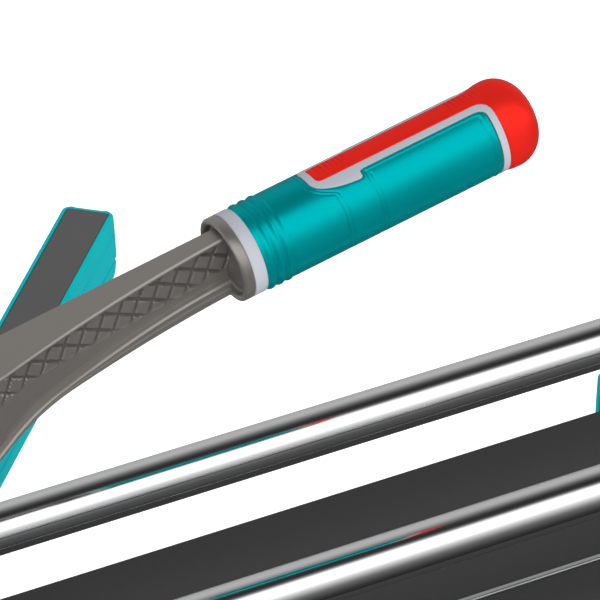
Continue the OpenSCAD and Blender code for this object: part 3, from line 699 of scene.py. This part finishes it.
# lines on the sleeve, as (s, degrees from the middle): two seams round the hook, the cuff behind it, the frame
SEAM_FRONT = [
    (37.6, 0), (37.8, 16), (38.3, 25), (39.6, 31.6), (41.6, 37.0), (44.0, 41.0), (46.4, 44.4),
    (46.6, 48), (46.6, 180),
]
SEAM_BACK = [
    (38.6, 0), (38.8, 14), (39.3, 22), (40.6, 28.6), (42.6, 34.0), (45.0, 38.6), (47.4, 42.6),
    (48.3, 46), (48.3, 180),
]
CUFF_FRONT = [(61.4, 34), (61.6, 180)]
CUFF_BACK = [(63.0, 40.5), (63.0, 180)]
FRAME_BEAD = [(61.6, 33.0), (110.4, 33.0), (112.2, 34.6), (112.9, 38.0), (112.9, 180)]
FRAME_LINE = [(111.6, 40.0), (111.7, 180)]
RIBS = 3
RIB_START = SLEEVE_S + 2.7
RIB_PITCH = 3.9
RIB_HALF = 2.4
UNDER_DECOR = 0.9


def sleeve_radius(s, angle):
    """Radius of the soft sleeve: ribs by the ring, seams and beads around the decor."""
    spot = np.column_stack([s, folded(angle) * DEG_MM])
    r = np.full(len(s), GRIP_R)
    for i in range(RIBS):
        off = s - (RIB_START + RIB_PITCH * i)
        r += np.where(np.abs(off) < RIB_HALF, 0.12 + 0.33 * np.cos(math.tau / RIB_PITCH * off), 0)

    def cut(path, depth, width):
        return depth * np.exp(-((from_path(spot, flat_path(path)) / width) ** 2))

    edge_s, edge_a = zip(*BORDER_OUT)
    over = (np.interp(s, edge_s, edge_a) - folded(angle)) * DEG_MM
    r -= UNDER_DECOR * smooth((over - 0.2) / 0.5) * (s > edge_s[0] + 0.3)
    r -= cut(BORDER_OUT, 0.45, 0.35)
    r -= cut(SEAM_FRONT, 0.32, 0.32) + cut(SEAM_BACK, 0.32, 0.32)
    r -= cut(CUFF_FRONT, 0.35, 0.32) + cut(CUFF_BACK, 0.35, 0.32)
    r += cut(FRAME_BEAD, 0.2, 0.35)
    r -= cut(FRAME_LINE, 0.25, 0.35)
    ends = np.minimum(s - SLEEVE_S, END_RING_S - s)
    return r - 0.4 * (1 - smooth(ends / 0.5))


def sleeve_piece():
    """The soft sleeve, as a tube round the tang."""
    s_list = np.concatenate([
        np.linspace(SLEEVE_S, 37, 70, endpoint=False), np.linspace(37, 65, 90, endpoint=False),
        np.linspace(65, 106, 30, endpoint=False), np.linspace(106, END_RING_S, 34),
    ])
    near = np.arange(-80, 80, 1.0)
    far = np.arange(80, 280, 2.5)
    angles = np.concatenate([near, far]) + DECOR_TILT
    bore = TANG_R + 0.1
    rings = [[on_grip(SLEEVE_S, a, bore) for a in angles]]
    for s in s_list:
        radii = sleeve_radius(np.full(len(angles), s), angles)
        rings.append([on_grip(s, a, r) for a, r in zip(angles, radii)])
    rings.append([on_grip(END_RING_S, a, bore) for a in angles])
    points, faces = loft(rings, looped=True)
    add_piece("soft_sleeve", points, faces, "grip_teal", "lever", ["grip_sleeve"], angle=60)


def denser(path, step):
    """The same path with no stretch longer than step."""
    out = []
    for a, b in zip(path, path[1:] + path[:1]):
        count = max(1, math.ceil(math.dist(a, b) / step))
        out += [(a[0] + (b[0] - a[0]) * i / count, a[1] + (b[1] - a[1]) * i / count) for i in range(count)]
    return out


def inside(point, outline):
    """Whether a point lies inside a closed outline."""
    hit = False
    for a, b in zip(outline, outline[1:] + outline[:1]):
        if (a[1] > point[1]) != (b[1] > point[1]):
            if point[0] < a[0] + (point[1] - a[1]) * (b[0] - a[0]) / (b[1] - a[1]):
                hit = not hit
    return hit


def border_piece():
    """The light border: hooks, strips and end ring in one thin shell wrapped round the grip.

    Its outline is filled with triangles on the flat, closed where its two sides meet, and then wrapped.
    """
    near = flat_path(BORDER_OUT) + flat_path(BORDER_IN)
    split = len(BORDER_OUT)
    mirrored = [(s, -w) for s, w in near]
    outline = near + mirrored[split:-1][::-1] + mirrored[1:split][::-1]
    edge = denser(outline, 1.0)
    loop = np.array(edge + edge[:1])
    seam = 180 * DEG_MM
    extra = [
        (s, w) for s in np.arange(40.4, 118, 0.8) for w in np.arange(-seam + 1, seam, 1.0)
        if abs(w) < 13 or s > 114
    ]
    extra = [p for p in extra if inside(p, edge)]
    clear = from_path(np.array(extra), loop) > 0.4
    points = edge + [p for p, ok in zip(extra, clear) if ok]
    rim = [(i, (i + 1) % len(edge)) for i in range(len(edge))]
    flat, _, triangles, *_ = delaunay_2d_cdt([Vector(p) for p in points], rim, [], 1, 1e-6)
    key = {}
    number = []
    for v in flat:
        w = seam if v.y < -seam + 1e-4 else v.y
        number.append(key.setdefault((round(v.x, 4), round(w, 4)), len(key)))
    spots = list(key)
    top = [tuple(number[i] for i in face) for face in triangles]
    top = [face for face in top if len(set(face)) == 3]
    sides = dict.fromkeys(pair for face in top for pair in zip(face, face[1:] + face[:1]))
    count = len(spots)
    shell = [
        on_grip(s, w / DEG_MM + DECOR_TILT, r) for r in (GRIP_R + PROUD, GRIP_R - SKIN_T) for s, w in spots
    ]
    faces = top + [tuple(i + count for i in reversed(face)) for face in top]
    faces += [(b, a, a + count, b + count) for a, b in sides if (b, a) not in sides]
    piece = add_piece("decor_border", shell, faces, "grip_grey", "lever",
                      ["grip_border", "grip_end_ring"], bevel=0.22 * MM)
    fix_normals(piece)


def fix_normals(piece):
    """Turns all faces of a closed mesh outwards."""
    work = bmesh.new()
    work.from_mesh(piece.data)
    bmesh.ops.recalc_face_normals(work, faces=work.faces)
    work.to_mesh(piece.data)
    work.free()


def panel_half(s):
    """Half width of the red panel in degrees: a rounded front, and a flare into the cap."""
    back = PANEL_S + PANEL_NOSE_R - s
    if back > 0:
        return PANEL_HALF - (PANEL_NOSE_R - math.sqrt(max(PANEL_NOSE_R**2 - back**2, 0))) / DEG_MM
    inner = BORDER_IN[::-1]
    for (s0, a0), (s1, a1) in zip(inner[:-1], inner[1:]):
        if s0 <= s <= s1 and s > 100 and s1 > s0:
            return a0 + (a1 - a0) * (s - s0) / (s1 - s0)
    return PANEL_HALF if s < 110 else PANEL_FLARE


def panel_piece():
    """The red panel with two groups of short grip grooves; it runs into the end cap."""
    stations = np.concatenate([
        np.linspace(PANEL_S + 0.02, 45.4, 14, endpoint=False),
        np.linspace(45.4, 60, 80, endpoint=False), np.linspace(60, 103, 20, endpoint=False),
        np.linspace(103, 117.9, 90, endpoint=False), [117.9, CAP_S],
    ])
    grooves = [start + GROOVE_PITCH * i for start in GROOVE_STARTS for i in range(GROOVE_COUNT)]
    rings = []
    for s in stations:
        half = panel_half(s) - PANEL_GAP
        turns = np.linspace(-half, half, 49)
        window = smooth((turns + 17) / 3) * smooth((9.4 - turns) / 3)
        r = np.full(len(turns), GRIP_R + PROUD)
        for groove in grooves:
            r -= GROOVE_DEPTH * window * math.exp(-(((s - groove) / GROOVE_WIDTH) ** 2))
        edge = (half - np.abs(turns)) * DEG_MM
        r -= 0.25 * (1 - smooth(edge / 0.35))
        ring = [on_grip(s, a + DECOR_TILT, x) for a, x in zip(turns, r)]
        ring += [on_grip(s, a + DECOR_TILT, GRIP_R - SKIN_T) for a in turns[::-4]]
        rings.append(ring)
    points, faces = loft(rings)
    add_piece("decor_panel", points, faces, "grip_red", "lever", ["grip_panel"], angle=60)


def cap_piece():
    """The end cap, a little wider than the sleeve, with a big rounding at its end."""
    round_r = 12.0
    out = GRIP_R + PROUD
    swell = out + 0.6
    profile = [(CAP_S - 0.2, 0), (CAP_S - 0.2, out - 0.2), (CAP_S, out), (CAP_S + 1.5, out + 0.25)]
    profile += [(CAP_S + 3.0, out + 0.48), (CAP_END - round_r - 0.8, swell - 0.03)]
    profile += [(s, r) for r, s in arc(swell - round_r, CAP_END - round_r, round_r, 0, 90, 24)]
    profile += [(CAP_END + 0.15, (swell - round_r) * 0.6), (CAP_END + 0.2, 0)]
    turned("end_cap", profile, "grip_red", "grip_cap")


# ---- support arms ----

ARM_REACH = 322.4
ARM_START = 18.0
ARM_OFF = 11.2
ARM_OPEN = math.radians(46.2)
ARM_TIP = ARM_REACH + 0.8
ARM_TIP_R = 3.0
ARM_TIP_STEPS = 8
STRIP_FLOOR = 33.2
LOWER_EDGE = 12.8
# one side of the arm's outline in mm: (from its middle, height)
ARM_SIDE = [
    (9.75, STRIP_FLOOR), (9.75, 35.5), (9.95, 35.75), (10.6, 35.8), (11.4, 35.45), (11.9, 34.6),
    (12.4, 27.2), (11.85, 26.6), (12.5, 26.0), (12.75, 20.5), (13.0, 14.6), (11.7, 14.0),
    (11.7, 13.2), (12.9, 12.6), (12.6, 8.0), (11.9, 4.2),
]


def arm_frame(left):
    """A function from (along, across, height) in mm on the arm to a point in the row frame."""
    side = "left" if left else "right"
    pivot = centre(side + "_arm_pin")
    turn = ARM_OPEN if left else 0.0
    mirror = 1 if left else -1

    def place(a, y, z):
        x = a * math.cos(turn) - y * math.sin(turn)
        back = a * math.sin(turn) + y * math.cos(turn)
        return (pivot.x + mirror * x * MM, pivot.y + back * MM, z * MM)

    return place


def arm_ring(a, place, squeeze=0.0, back_step=0.0, floor=STRIP_FLOOR):
    """The arm's outline at one station.

    At the tip, squeeze pulls the sides in and back_step the lower part back; floor is under the rubber.
    """
    half = [(max(p - squeeze, 2.0), max(z, floor) if i < 2 else z) for i, (p, z) in enumerate(ARM_SIDE)]
    outline = half + [(-p, z) for p, z in half[::-1]]
    return [place(a - (back_step if z < LOWER_EDGE else 0), p - ARM_OFF, z) for p, z in outline]


def arm_piece(side):
    """An arm's bar, with a channel for the strip and a rounded tip; its hinge end is a second piece."""
    place = arm_frame(side == "left")
    round_a = ARM_TIP - ARM_TIP_R
    rings = [arm_ring(ARM_START + 0.4, place, squeeze=0.5), arm_ring(ARM_START + 1.2, place)]
    rings += [arm_ring(a, place) for a in np.linspace(30, ARM_TIP - 12, 12)]
    rings.append(arm_ring(round_a - 0.02, place))
    for i in range(ARM_TIP_STEPS + 1):
        t = math.radians(90 * i / ARM_TIP_STEPS)
        a = round_a + ARM_TIP_R * math.sin(t)
        floor = 35.55 if a > ARM_TIP - 1.7 else STRIP_FLOOR
        rings.append(arm_ring(a, place, ARM_TIP_R * (1 - math.cos(t)), 1.6 * smooth(i / 3), floor))
    points, faces = loft(rings)
    piece = add_piece(side + "_arm_shell", points, faces, "teal_plastic", side + "_arm", [side + "_arm"],
                      bevel=0.25 * MM)
    fix_normals(piece)
    at = place(ARM_START + 0.8, 0, 0)
    along = Vector(place(ARM_START + 1.8, 0, 0)) - Vector(at)
    cut_copy(side + "_arm_hub", side + "_arm", at, along, "teal_plastic", side + "_arm", 0.6 * MM)


def arm_pad_piece(side):
    """The rubber strip on an arm, crowned a little, with rounded ends."""
    place = arm_frame(side == "left")
    half, low, high, rim = 9.55, 33.1, 35.95, 0.6
    start, end = ARM_START + 6, ARM_REACH - 0.9
    stations = [(start, rim), (start + rim, 0), (start + 40, 0), (end - 40, 0), (end - rim, 0), (end, rim)]
    rings = []
    for a, inset in stations:
        w = half - inset
        outline = [(w, low), (w, high - 0.5), (w - 0.5, high - 0.08), (w * 0.5, high), (-w * 0.5, high),
                   (0.5 - w, high - 0.08), (-w, high - 0.5), (-w, low)]
        rings.append([place(a, p - ARM_OFF, z - (inset * 0.5 if z > low else 0)) for p, z in outline])
    points, faces = loft(rings)
    piece = add_piece(side + "_arm_strip", points, faces, "arm_rubber", side + "_arm",
                      [side + "_arm_pad"])
    fix_normals(piece)


# ---- everything ----

bpy.context.scene.view_settings.view_transform = "Standard"
add_camera()
add_studio()
add_lamp("key", (-0.9, -1.6, 2.2), 1.6, 32)
add_lamp("fill", (1.4, 1.4, 1.8), 1.8, 14)
add_floor()
finish_cad_nodes()
rail_piece("rear")
rail_piece("front")
lever_piece()
lever_head()
collar_piece()
ring_piece()
sleeve_piece()
border_piece()
panel_piece()
cap_piece()
for arm_side in ("left", "right"):
    arm_piece(arm_side)
    arm_pad_piece(arm_side)
